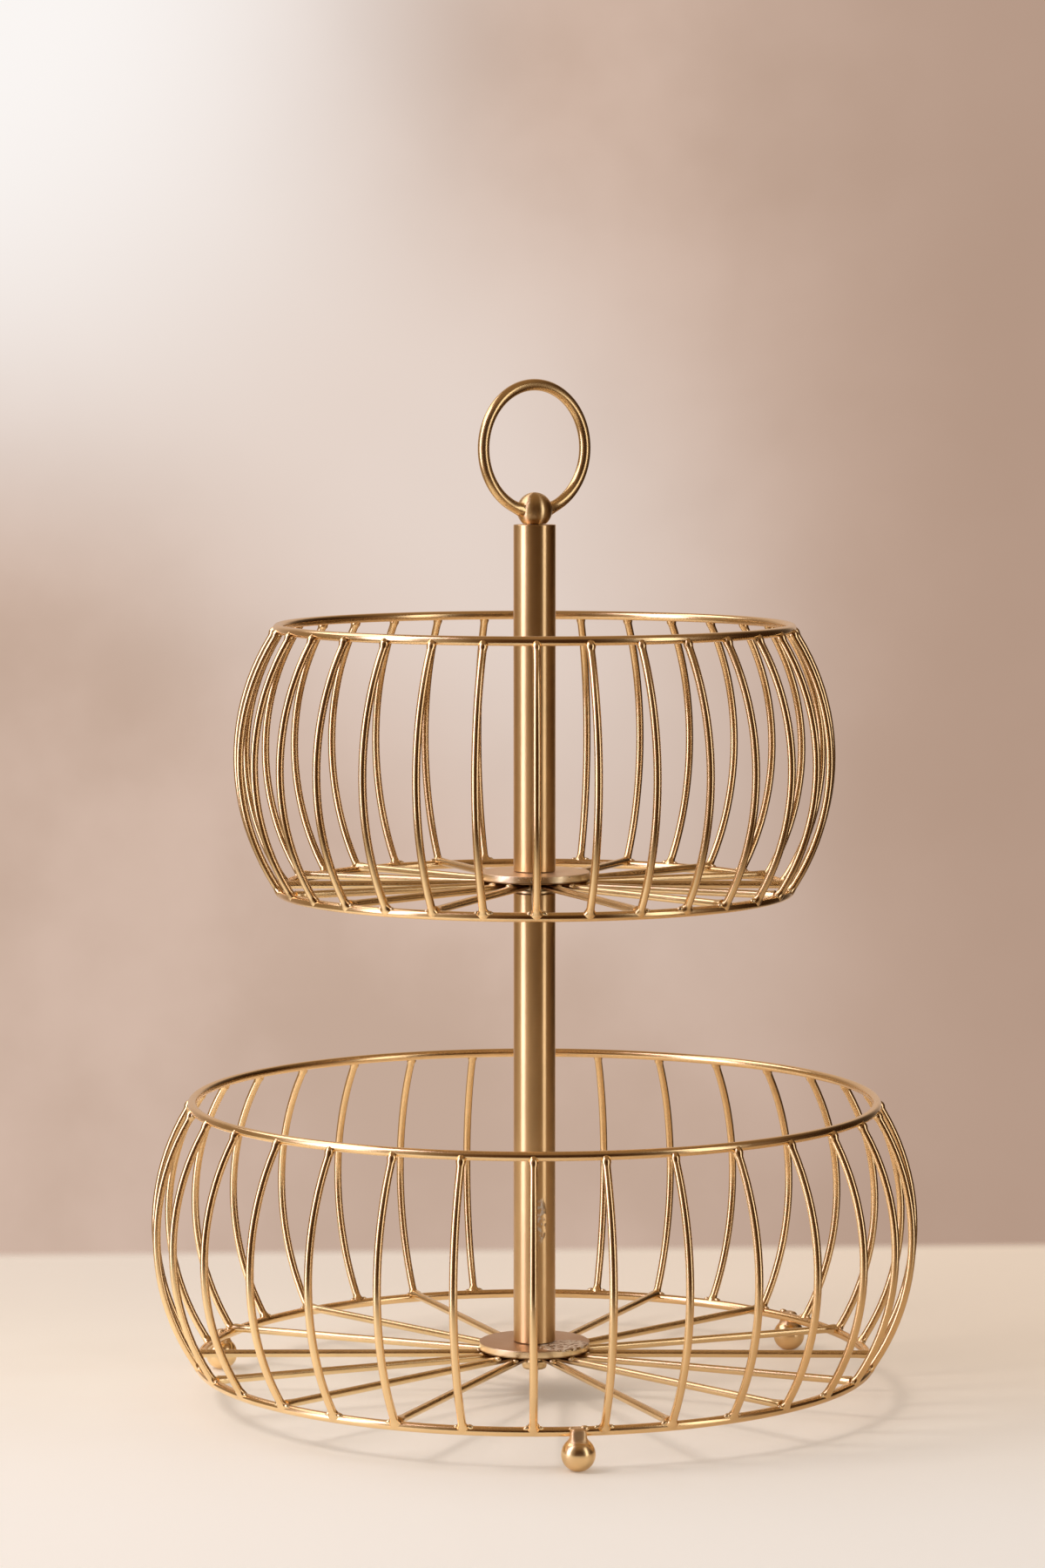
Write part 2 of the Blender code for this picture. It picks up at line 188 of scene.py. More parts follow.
# Fineness
RING_SEGMENTS = 240
RING_SIDES = 18
RIB_SIDES = 14
RIB_END_STEPS = 9
RIB_MIDDLE_STEPS = 22
RIB_END_SHARE = 0.045
SPOKE_SIDES = 16
SPOKE_STEPS = (0.0, 0.25, 0.5, 0.75, 0.955, 0.965, 0.975, 0.983, 0.99, 1.0)
BEAD_ROWS = 7
BEAD_SIDES = 12
BEAD_LAST_LATITUDE = 75
ROUND_SEGMENTS = 96
CORNER_STEPS = 4
BALL_STEPS = 28
DOME_STEPS = 8
THREAD_STEPS = 10
HANDLE_STEPS = 120
HANDLE_SIDES = 22
LUG_SIDES = 48
SHARP_EDGE = math.radians(40)

UP = Vector((0, 0, 1))


def outward(angle):
    """The level direction away from the post at an angle round it."""
    return Vector((math.sin(angle), -math.cos(angle), 0))


def along_ring(angle):
    """The direction of a ring at an angle round the post."""
    return Vector((math.cos(angle), math.sin(angle), 0))


def smooth(share):
    """A share from 0 to 1, eased at both ends."""
    share = min(max(share, 0.0), 1.0)
    return share * share * (3 - 2 * share)


# Shapes: each is a pair of lists, of points and of faces


def skin(shape, loops, closed=False):
    """Skin a row of equal loops with quads, and cap its ends unless the row closes on itself."""
    points, faces = shape
    first = len(points)
    sides = len(loops[0])
    for loop in loops:
        points.extend(loop)
    for row in range(len(loops) if closed else len(loops) - 1):
        here = first + row * sides
        ahead = first + (row + 1) % len(loops) * sides
        for side in range(sides):
            beside = (side + 1) % sides
            faces.append((here + side, here + beside, ahead + beside, ahead + side))
    if not closed:
        last = first + (len(loops) - 1) * sides
        faces.append(tuple(range(first + sides - 1, first - 1, -1)))
        faces.append(tuple(range(last, last + sides)))


def sweep(shape, path, sizes, across, sides):
    """Sweep an oval along a path in a plane that is square to across."""
    loops = []
    for index, (point, (depth, width)) in enumerate(zip(path, sizes)):
        ahead = path[min(index + 1, len(path) - 1)] - path[max(index - 1, 0)]
        normal = ahead.normalized().cross(across)
        loop = []
        for side in range(sides):
            turn = math.tau * side / sides
            loop.append(point + normal * depth * math.cos(turn) + across * width * math.sin(turn))
        loops.append(loop)
    skin(shape, loops)


def wire_ring(shape, radius, level, wire_radius):
    """A level wire ring about the post."""
    loops = []
    for segment in range(RING_SEGMENTS):
        angle = math.tau * segment / RING_SEGMENTS
        centre = outward(angle) * radius + UP * level
        loop = []
        for side in range(RING_SIDES):
            turn = math.tau * side / RING_SIDES
            loop.append(centre + (outward(angle) * math.cos(turn) + UP * math.sin(turn)) * wire_radius)
        loops.append(loop)
    skin(shape, loops, closed=True)


def softened(outline, reach):
    """Round the corners of a closed outline, reach away from each corner on both sides."""
    corners = [Vector(point) for point in outline]
    points = []
    for index, corner in enumerate(corners):
        before = corner + (corners[index - 1] - corner).normalized() * reach
        after = corner + (corners[(index + 1) % len(corners)] - corner).normalized() * reach
        for step in range(CORNER_STEPS + 1):
            share = step / CORNER_STEPS
            points.append(tuple(before.lerp(corner, share).lerp(corner.lerp(after, share), share)))
    return points


def circle(radius, level, centre):
    """A level circle at a height over centre."""
    loop = []
    for segment in range(ROUND_SEGMENTS):
        loop.append(centre + outward(math.tau * segment / ROUND_SEGMENTS) * radius + UP * level)
    return loop


def turned(outline, centre, bored=False):
    """The shape of an outline of radii and heights, turned about an upright line through centre."""
    shape = ([], [])
    skin(shape, [circle(radius, level, centre) for radius, level in outline], closed=bored)
    return shape


def bored_round(inner, outer, bottom, top, edge, level=0.0):
    """The shape of a round piece with a bore and rounded edges, at a level on the post."""
    outline = [(inner, top), (outer, top), (outer, bottom), (inner, bottom)]
    return turned(softened(outline, edge), UP * level, bored=True)


def ball_outline(radius, cut_depth):
    """Radii and heights of a ball that is cut flat at a depth under its middle."""
    last_turn = math.pi - math.acos(cut_depth / radius)
    outline = []
    for step in range(1, BALL_STEPS + 1):
        turn = last_turn * step / BALL_STEPS
        outline.append((radius * math.sin(turn), radius * math.cos(turn)))
    return outline


def bead(shape, centre, directions, half_sizes, scale):
    """A small rounded lump of weld metal, with a half size along each of three directions."""
    axes = [direction * half * scale for direction, half in zip(directions, half_sizes)]
    loops = []
    for row in range(BEAD_ROWS):
        lift = math.radians(-BEAD_LAST_LATITUDE + 2 * BEAD_LAST_LATITUDE * row / (BEAD_ROWS - 1))
        loop = []
        for side in range(BEAD_SIDES):
            turn = math.tau * side / BEAD_SIDES
            flat = axes[0] * math.cos(turn) + axes[1] * math.sin(turn)
            loop.append(centre + flat * math.cos(lift) + axes[2] * math.sin(lift))
        loops.append(loop)
    skin(shape, loops)


def piece(name, shape, body, material, replaced=()):
    """Make a shape into a piece of the object that rides on a body."""
    points, faces = shape
    mesh = bpy.data.meshes.new(name)
    mesh.from_pydata([tuple(point) for point in points], [], faces)
    work = bmesh.new()
    work.from_mesh(mesh)
    bmesh.ops.recalc_face_normals(work, faces=work.faces)
    work.to_mesh(mesh)
    work.free()
    mesh.shade_smooth()
    mesh.set_sharp_from_angle(angle=SHARP_EDGE)
    mesh.materials.append(material)
    made = bpy.data.objects.new(name, mesh)
    bpy.context.scene.collection.objects.link(made)
    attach(made, body)
    if replaced:
        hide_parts(*replaced)


# Materials. Clouds, grain and the like are noise in cells a metre, some with a count for each axis.
# Shades are the factors between which noise varies a colour, wear is how far it varies the roughness,
# and a span is where something starts and is in full force

# Soft noise seldom leaves this range
NOISE_RANGE = (0.3, 0.7)
FACING_UP_SPAN = (0.3, 0.8)
FACING_DOWN_SPAN = (-0.3, -0.8)
PLATING_CLOUDS = 45.0
PLATING_SHADES = (0.95, 1.05)
PLATING_WEAR = (-0.02, 0.03)
# Painted shade: a dark plated colour put where shade falls, under the hub discs and in pits
PAINTED_SHADE = (0.30, 0.17, 0.07)
PAINTED_SHADE_FADE = 0.004
PAINTED_SHADE_WAVER = 0.002

# Brushing round the post, which draws a highlight out along it
BRUSHED_STRETCH = 0.95
BRUSHED_ROTATION = 0.25

# The tubes, with their scuffed place
TUBE_CLOUDS = (60.0, 60.0, 25.0)
TUBE_SHADES = (0.9, 1.07)
FINE_BRUSHING = (50.0, 50.0, 9000.0)
FINE_BRUSHING_DEPTH = 0.0000004
COARSE_BRUSHING = (30.0, 30.0, 1300.0)
COARSE_BRUSHING_DEPTH = 0.0000010
COARSE_BRUSHING_SHADE = 0.85
COARSE_BRUSHING_SPAN = (0.45, 0.8, 0.0, 0.10)
SCUFF_CENTRE = (0.0022, -0.0076, 0.0685)
SCUFF_REACH = (0.0026, 0.004, 0.0100)
SCUFF_SCRATCHES = 620.0
SCUFF_SPAN = (0.50, 0.56)
SCUFF_COLOUR = (1.0, 0.93, 0.80)
SCUFF_DULLNESS = 0.45
SCUFF_DEPTH = 0.0003

# The discs
DISC_SIDE_COLOUR = (1.0, 0.80, 0.52)
# The lower disc's top is painted darker than its side and the upper top, as the shade it lies in
LOWER_DISC_SHADED_TOP_COLOUR = (0.68, 0.47, 0.29)
UPPER_DISC_TOP_COLOUR = (1.0, 0.78, 0.52)
DISC_ROUGHNESS = 0.30
DISC_TOP_DULLNESS = 0.12
DISC_CLOUDS = 110.0
DISC_SHADES = (0.9, 1.08)
DISC_WEAR = (-0.04, 0.04)
DISC_GRAIN = 2400.0
DISC_GRAIN_DEPTH = 0.000012
DISC_SCRATCHES = (350.0, 350.0, 5000.0)
DISC_SCRATCH_DEPTH = 0.000012
DISC_SPECKS = 1500.0
DISC_SPECK_SPAN = (0.68, 0.74)
DISC_SPECK_SHADE = 1.35
DISC_SPECK_SHARE = 0.6
DISC_SPECK_DEPTH = 0.00006
# Painted shade low on a disc's edge, over its bottom: where it starts and where it is full
DISC_EDGE_SHADE_TOP = 0.0008
DISC_EDGE_SHADE_FULL = 0.0003

# The pitted patch on top of the lower disc, with painted shade in its pits
PATCH_CENTRE = (0.0120, -0.0095)
PATCH_REACH = (0.0135, 0.0135, 0.0014)
PATCH_EDGE = 300.0
PATCH_RAGGEDNESS = 0.9
PATCH_SPAN = (0.75, 1.0)
PATCH_PITS = 760.0
PATCH_BRIGHT_SPAN = (0.48, 0.54)
PATCH_PIT_SHADE_SPAN = (0.48, 0.42)
PATCH_PIT_SHADE_SHARE = 0.6
PATCH_COLOUR = (0.90, 0.75, 0.58)
PATCH_METALLIC = 0.35
PATCH_SHINE = 0.10
PATCH_DEPTH = 0.0009

# Welds and studs
WELD_LUMPS = 900.0
WELD_LUMP_DEPTH = 0.00012
WELD_GRAIN = 3000.0
WELD_GRAIN_DEPTH = 0.00002
WELD_SHADES = (0.92, 1.12)
WELD_WEAR = (-0.05, 0.08)
ZINC_DARK = (0.5, 0.5, 0.48)
ZINC_LIGHT = (0.6, 0.6, 0.59)
ZINC_CLOUDS = 260.0
ZINC_GRAIN = 2800.0
ZINC_GRAIN_DEPTH = 0.00001
ZINC_ROUGHNESS = (0.28, 0.42)


class Tree:
    """Short ways to add nodes to a node tree."""

    def __init__(self, tree):
        self.tree = tree
        tree.nodes.clear()

    def add(self, kind, inputs=None, **settings):
        """Add a node, with values or other nodes' outputs for its inputs."""
        node = self.tree.nodes.new(kind)
        for key, value in settings.items():
            setattr(node, key, value)
        for key, value in (inputs or {}).items():
            if isinstance(value, bpy.types.NodeSocket):
                self.tree.links.new(value, node.inputs[key])
            else:
                node.inputs[key].default_value = value
        return node

    def place(self):
        """Places on the object, in metres."""
        return self.add("ShaderNodeTexCoord").outputs["Object"]

    def axes(self, vector):
        """The outputs X, Y and Z of a vector."""
        return self.add("ShaderNodeSeparateXYZ", {0: vector}).outputs

    def rays(self):
        """The outputs that tell what kind of ray meets the surface."""
        return self.add("ShaderNodeLightPath").outputs

    def maths(self, operation, first, second=0.0):
        """A sum or comparison of two numbers."""
        return self.add("ShaderNodeMath", {0: first, 1: second}, operation=operation).outputs[0]

    def plus(self, first, second):
        """Two numbers added."""
        return self.maths("ADD", first, second)

    def times(self, first, second):
        """Two numbers multiplied."""
        return self.maths("MULTIPLY", first, second)

    def larger(self, first, second):
        """The larger of two numbers."""
        return self.maths("MAXIMUM", first, second)

    def vectors(self, operation, first, second=(0.0, 0.0, 0.0)):
        """A sum of two vectors, or the length or distance that they give."""
        outputs = self.add("ShaderNodeVectorMath", {0: first, 1: second}, operation=operation).outputs
        return outputs["Value"] if operation in ("LENGTH", "DISTANCE") else outputs["Vector"]

    def blend(self, factor, first, second):
        """A colour between two colours."""
        colours = {0: factor, 6: first, 7: second}
        return self.add("ShaderNodeMix", colours, data_type="RGBA").outputs[2]

    def remap(self, value, start, end, low=0.0, high=1.0):
        """A number mapped smoothly from one range to another."""
        spans = {"Value": value, "From Min": start, "From Max": end, "To Min": low, "To Max": high}
        return self.add("ShaderNodeMapRange", spans, interpolation_type="SMOOTHSTEP").outputs[0]

    def noise(self, place, scale, detail=2.0):
        """Soft noise at a scale in cells a metre."""
        values = {"Vector": place, "Scale": scale, "Detail": detail}
        return self.add("ShaderNodeTexNoise", values).outputs[0]

    def streaks(self, place, scale):
        """Soft noise at a scale of its own along each axis."""
        stretched = self.add("ShaderNodeMapping", {"Vector": place, "Scale": scale}).outputs[0]
        return self.noise(stretched, 1.0, 3.0)

    def spread(self, noise, low=0.0, high=1.0):
        """Soft noise stretched over a range."""
        return self.remap(noise, *NOISE_RANGE, low, high)

    def clouded(self, noise, colour, shades):
        """A colour that noise makes darker and lighter."""
        dark, light = shades
        return self.blend(self.spread(noise), shaded(colour, dark), shaded(colour, light))

    def worn(self, noise, roughness, wear):
        """A roughness that noise lowers and raises."""
        low, high = wear
        return self.spread(noise, roughness + low, roughness + high)

    def patch(self, place, centre, reach):
        """1 in the middle of an egg-shaped region, falling to 0 at its edge."""
        shares = self.vectors("DIVIDE", self.vectors("SUBTRACT", place, centre), reach)
        return self.remap(self.vectors("LENGTH", shares), 1.0, 0.55)

    def pool(self, place, centre, reach, core):
        """1 near a point, falling to 0 at a distance of reach from it."""
        return self.remap(self.vectors("DISTANCE", place, centre), reach, core)


def rgba(colour):
    """A colour with full alpha."""
    return (*colour, 1.0)


def shaded(colour, factor):
    """A colour made lighter or darker."""
    return rgba([min(channel * factor, 1.0) for channel in colour])


def new_material(name):
    """An empty material and its tree."""
    material = bpy.data.materials.new(name)
    material.use_nodes = True
    return material, Tree(material.node_tree)


def bump(tree, height, distance, below=None):
    """A bump from a height, over another bump if there is one."""
    inputs = {"Height": height, "Distance": distance, "Strength": 1.0}
    if below is not None:
        inputs["Normal"] = below
    return tree.add("ShaderNodeBump", inputs).outputs[0]


def finish_metal(tree, colour, roughness, normal=None, brushed=False, metallic=1.0):
    """Close a tree with a metal shader, smooth or brushed round the post."""
    inputs = {"Base Color": colour, "Metallic": metallic, "Roughness": roughness}
    if normal is not None:
        inputs["Normal"] = normal
    if brushed:
        inputs["Anisotropic"] = BRUSHED_STRETCH
        inputs["Anisotropic Rotation"] = BRUSHED_ROTATION
        inputs["Tangent"] = tree.add("ShaderNodeTangent", direction_type="RADIAL", axis="Z").outputs[0]
    shader = tree.add("ShaderNodeBsdfPrincipled", inputs)
    tree.add("ShaderNodeOutputMaterial", {"Surface": shader.outputs[0]})


def plated(name, colour, roughness, shade_within=0.0, brushed=False):
    """Satin plating: faint clouds in its colour and gloss, and painted shade within a distance of the
    post.
    """
    material, tree = new_material(name)
    place = tree.place()
    clouds = tree.noise(place, PLATING_CLOUDS, 4.0)
    shade = tree.clouded(clouds, colour, PLATING_SHADES)
    rough = tree.worn(clouds, roughness, PLATING_WEAR)
    if shade_within:
        # Painted shade on the floor wires where they run under the hub disc
        level_place = tree.vectors("MULTIPLY", place, (1.0, 1.0, 0.0))
        from_post = tree.plus(tree.vectors("LENGTH", level_place), tree.times(clouds, PAINTED_SHADE_WAVER))
        hub_shade = tree.remap(from_post, shade_within + PAINTED_SHADE_FADE, shade_within)
        shade = tree.blend(hub_shade, shade, rgba(PAINTED_SHADE))
    finish_metal(tree, shade, rough, brushed=brushed)
    return material


def tube_plating(name, colour, roughness):
    """Plating on a tube that was brushed round its girth, with one scuffed place low on its front."""
    material, tree = new_material(name)
    place = tree.place()
    fine = tree.streaks(place, FINE_BRUSHING)
    coarse = tree.streaks(place, COARSE_BRUSHING)
    clouds = tree.streaks(place, TUBE_CLOUDS)
    scratches = tree.remap(tree.noise(place, SCUFF_SCRATCHES, 3.0), *SCUFF_SPAN)
    scuff = tree.times(tree.patch(place, SCUFF_CENTRE, SCUFF_REACH), scratches)
    shade = tree.clouded(clouds, colour, TUBE_SHADES)
    dark_lines = tree.remap(coarse, *COARSE_BRUSHING_SPAN)
    shade = tree.blend(dark_lines, shade, shaded(colour, COARSE_BRUSHING_SHADE))
    shade = tree.blend(scuff, shade, rgba(SCUFF_COLOUR))
    rough = tree.worn(fine, roughness, PLATING_WEAR)
    rough = tree.plus(rough, tree.times(scuff, SCUFF_DULLNESS))
    normal = bump(tree, fine, FINE_BRUSHING_DEPTH)
    normal = bump(tree, coarse, COARSE_BRUSHING_DEPTH, below=normal)
    normal = bump(tree, scuff, SCUFF_DEPTH, below=normal)
    finish_metal(tree, shade, rough, normal, brushed=True)
    return material


def pitted_patch(tree, place, disc_top, shade, rough, normal):
    """Pit a patch on top of a disc: its new shade, roughness and bump, and how metallic it is."""
    pits = tree.noise(place, PATCH_PITS, 2.0)
    edge = tree.noise(place, PATCH_EDGE, 3.0)
    patch = tree.patch(place, (*PATCH_CENTRE, disc_top), PATCH_REACH)
    mask = tree.remap(tree.plus(patch, tree.times(edge, PATCH_RAGGEDNESS)), *PATCH_SPAN)
    bright = tree.times(mask, tree.remap(pits, *PATCH_BRIGHT_SPAN))
    dark = tree.times(mask, tree.remap(pits, *PATCH_PIT_SHADE_SPAN))
    shade = tree.blend(bright, shade, rgba(PATCH_COLOUR))
    # Painted shade in the pits, the low places of the bump
    shade = tree.blend(tree.times(dark, PATCH_PIT_SHADE_SHARE), shade, rgba(PAINTED_SHADE))
    rough = tree.maths("SUBTRACT", rough, tree.times(mask, PATCH_SHINE))
    normal = bump(tree, tree.times(mask, pits), PATCH_DEPTH, below=normal)
    metallic = tree.remap(bright, 0.0, 1.0, 1.0, PATCH_METALLIC)
    return shade, rough, normal, metallic


def disc_plating(name, top_colour, level, pitted):
    """Plating on a stamped disc: specks, a scratched side, a duller top, and painted shade under it and
    low on its edge.
    """
    material, tree = new_material(name)
    place = tree.place()
    bottom = level + HUB_RISE
    clouds = tree.noise(place, DISC_CLOUDS, 4.0)
    grain = tree.noise(place, DISC_GRAIN, 3.0)
    specks = tree.remap(tree.noise(place, DISC_SPECKS, 1.0), *DISC_SPECK_SPAN)
    scratches = tree.streaks(place, DISC_SCRATCHES)
    facing = tree.axes(tree.add("ShaderNodeNewGeometry").outputs["Normal"])["Z"]
    on_top = tree.remap(facing, *FACING_UP_SPAN)
    shaded_underside = tree.remap(facing, *FACING_DOWN_SPAN)
    shaded_low_edge = tree.remap(tree.axes(place)["Z"], bottom + DISC_EDGE_SHADE_TOP, bottom + DISC_EDGE_SHADE_FULL)
    speckled = tree.times(specks, DISC_SPECK_SHARE)
    shade = tree.clouded(clouds, DISC_SIDE_COLOUR, DISC_SHADES)
    shade = tree.blend(speckled, shade, shaded(DISC_SIDE_COLOUR, DISC_SPECK_SHADE))
    # The top's colour, on the lower disc a painted shade
    shade = tree.blend(on_top, shade, rgba(top_colour))
    # Painted shade low on the edge and on the underside, where the spokes and the bush meet the disc
    shade = tree.blend(shaded_low_edge, shade, rgba(PAINTED_SHADE))
    shade = tree.blend(shaded_underside, shade, rgba(PAINTED_SHADE))
    rough = tree.worn(clouds, DISC_ROUGHNESS, DISC_WEAR)
    rough = tree.plus(rough, tree.times(on_top, DISC_TOP_DULLNESS))
    normal = bump(tree, grain, DISC_GRAIN_DEPTH)
    normal = bump(tree, scratches, DISC_SCRATCH_DEPTH, below=normal)
    normal = bump(tree, specks, DISC_SPECK_DEPTH, below=normal)
    metallic = 1.0
    if pitted:
        disc_top = bottom + DISC_THICKNESS
        shade, rough, normal, metallic = pitted_patch(tree, place, disc_top, shade, rough, normal)
    finish_metal(tree, shade, rough, normal, metallic=metallic)
    return material


def weld_plating(name, colour, roughness):
    """Plated weld beads, lumpy and mottled."""
    material, tree = new_material(name)
    place = tree.place()
    lumps = tree.noise(place, WELD_LUMPS, 2.0)
    grain = tree.noise(place, WELD_GRAIN, 2.0)
    shade = tree.clouded(lumps, colour, WELD_SHADES)
    rough = tree.worn(grain, roughness, WELD_WEAR)
    normal = bump(tree, lumps, WELD_LUMP_DEPTH)
    normal = bump(tree, grain, WELD_GRAIN_DEPTH, below=normal)
    finish_metal(tree, shade, rough, normal)
    return material


def zinc_plating(name):
    """Zinc plating on the studs."""
    material, tree = new_material(name)
    place = tree.place()
    clouds = tree.noise(place, ZINC_CLOUDS, 3.0)
    grain = tree.noise(place, ZINC_GRAIN, 2.0)
    shade = tree.blend(tree.spread(clouds), rgba(ZINC_DARK), rgba(ZINC_LIGHT))
    rough = tree.spread(grain, *ZINC_ROUGHNESS)
    finish_metal(tree, shade, rough, bump(tree, grain, ZINC_GRAIN_DEPTH))
    return material


WIRE_METAL = plated("wire_plating", colour=(0.94, 0.685, 0.365), roughness=0.195)
# The floor wires are painted darker, as shade, where they pass under the hub discs
FLOOR_WIRE_METAL = plated(
    "floor_wire_plating", colour=(0.90, 0.69, 0.38), roughness=0.23, shade_within=0.0205)
WELD_METAL = weld_plating("weld_plating", colour=(0.93, 0.73, 0.44), roughness=0.26)
TUBE_METAL = tube_plating("tube_plating", colour=(0.85, 0.60, 0.305), roughness=0.35)
LOWER_DISC_METAL = disc_plating(
    "lower_disc_plating", LOWER_DISC_SHADED_TOP_COLOUR, LOWER_RING_HEIGHT, pitted=True)
UPPER_DISC_METAL = disc_plating(
    "upper_disc_plating", UPPER_DISC_TOP_COLOUR, UPPER_RING_HEIGHT, pitted=False)
HANDLE_METAL = plated("handle_plating", colour=(0.85, 0.61, 0.30), roughness=0.25)
BALL_METAL = plated("ball_plating", colour=(0.93, 0.69, 0.37), roughness=0.24)
LUG_METAL = plated("lug_plating", colour=(0.84, 0.61, 0.34), roughness=0.42)
KNOB_METAL = plated("knob_plating", colour=(0.86, 0.64, 0.34), roughness=0.33, brushed=True)
FASTENER_METAL = plated("fastener_plating", colour=(0.84, 0.63, 0.34), roughness=0.32)
STUD_METAL = zinc_plating("stud_zinc")


# Wires


def rib_path(base_radius, rim_radius):
    """Radii and heights along one bowed rib, base to rim, with its length so far at each."""
    foot = Vector((base_radius, 0))
    head = Vector((rim_radius, TIER_HEIGHT))
    chord = head - foot
    along = chord.normalized()
    out = Vector((along.y, -along.x))
    bow_radius = (chord.length**2 / 4 + RIB_BULGE**2) / (2 * RIB_BULGE)
    centre = (foot + head) / 2 - out * (bow_radius - RIB_BULGE)
    half_sweep = math.asin(chord.length / 2 / bow_radius)
    shares = [RIB_END_SHARE * step / RIB_END_STEPS for step in range(RIB_END_STEPS)]
    middle = 1 - 2 * RIB_END_SHARE
    shares += [RIB_END_SHARE + middle * step / RIB_MIDDLE_STEPS for step in range(RIB_MIDDLE_STEPS)]
    shares += [1 - RIB_END_SHARE * (1 - step / RIB_END_STEPS) for step in range(RIB_END_STEPS + 1)]
    path = []
    for share in shares:
        sweep_angle = half_sweep * (2 * share - 1)
        point = centre + bow_radius * (out * math.cos(sweep_angle) + along * math.sin(sweep_angle))
        path.append((point, share * 2 * half_sweep * bow_radius))
    return path


def rib(shape, path, level, angle, chance):
    """One rib, flared into the base ring and with a bulge of weld under the rim."""
    length = path[-1][1]
    foot_flare = RIB_FOOT_FLARE * chance.uniform(*RIB_FOOT_FLARE_RANGE)
    head_bulge = RIB_HEAD_BULGE * chance.uniform(*RIB_HEAD_BULGE_RANGE)
    points, sizes = [], []
    for point, run in path:
        flare = foot_flare * smooth(1 - (run - RIB_FOOT_FLARE_START) / RIB_FOOT_FLARE_REACH) ** 3
        drop = (length - run - RIB_HEAD_BULGE_DROP) / RIB_HEAD_BULGE_SPREAD
        bulge = head_bulge * math.exp(-drop * drop)
        depth = RIB_RADIUS + RIB_FOOT_FLARE_DEPTH_SHARE * flare + bulge
        width = RIB_RADIUS + flare + RIB_HEAD_BULGE_WIDTH_SHARE * bulge
        points.append(outward(angle) * (point.x + RIB_HEAD_BULGE_SHIFT * bulge) + UP * (level + point.y))
        sizes.append((depth, width))
    sweep(shape, points, sizes, along_ring(angle), RIB_SIDES)


def rim_bead(shape, rim_radius, level, angle, chance):
    """The lump of weld on the outside of the joint between a rib and the rim."""
    out, side = outward(angle), along_ring(angle)
    size = chance.uniform(*RIM_BEAD_RANGE)
    centre = out * (rim_radius + RIM_BEAD_OUT) + UP * (level - RIM_BEAD_DROP)
    centre += side * chance.uniform(-RIM_BEAD_STRAY, RIM_BEAD_STRAY)
    outer = (out + UP * RIM_BEAD_TILT).normalized()
    down = (out * RIM_BEAD_LEAN - UP).normalized()
    bead(shape, centre, (side, outer, down), RIM_BEAD, size)


def rib_foot_beads(shape, base_radius, level, angle, chance):
    """The small lumps at both sides of a rib's foot, a few of them missing."""
    out = outward(angle)
    for direction in (-1, 1):
        if chance.random() < RIB_FOOT_BEAD_MISSING:
            continue
        side = along_ring(angle) * direction
        size = chance.uniform(*RIB_FOOT_BEAD_RANGE)
        reach = RIB_FOOT_BEAD_SIDE + RIB_FOOT_BEAD_STRAY * chance.random()
        centre = out * (base_radius + RIB_FOOT_BEAD_OUT) + side * reach + UP * (level + RIB_FOOT_BEAD_RISE)
        lean = (side - UP * RIB_FOOT_BEAD_LEAN).normalized()
        upward = (UP + side * RIB_FOOT_BEAD_LEAN).normalized()
        bead(shape, centre, (lean, out, upward), RIB_FOOT_BEAD, size)


def spoke(shape, base_radius, level, angle, chance):
    """One straight floor wire, flared where it is welded to the base ring."""
    start = outward(angle) * SPOKE_START + UP * (level + SPOKE_START_RISE)
    end = outward(angle) * (base_radius - SPOKE_END_GAP) + UP * (level + SPOKE_END_RISE)
    full_flare = SPOKE_FLARE * chance.uniform(*SPOKE_FLARE_RANGE)
    points, sizes = [], []
    for share in SPOKE_STEPS:
        flare = full_flare * smooth((share - SPOKE_FLARE_START) / (1 - SPOKE_FLARE_START))
        points.append(start.lerp(end, share))
        sizes.append((SPOKE_RADIUS + SPOKE_FLARE_DEPTH_SHARE * flare, SPOKE_RADIUS + flare))
    sweep(shape, points, sizes, along_ring(angle), SPOKE_SIDES)


def hub_bead(shape, level, angle, chance):
    """The tack of weld between a spoke and the hub disc's edge."""
    out, side = outward(angle), along_ring(angle)
    offset = side * chance.choice((-1, 1)) * chance.uniform(*HUB_BEAD_SIDE_RANGE)
    centre = out * (DISC_RADIUS + HUB_BEAD_OUT) + offset + UP * (level + HUB_RISE - HUB_BEAD_DROP)
    bead(shape, centre, (side, out, UP), HUB_BEAD, chance.uniform(*HUB_BEAD_RANGE))


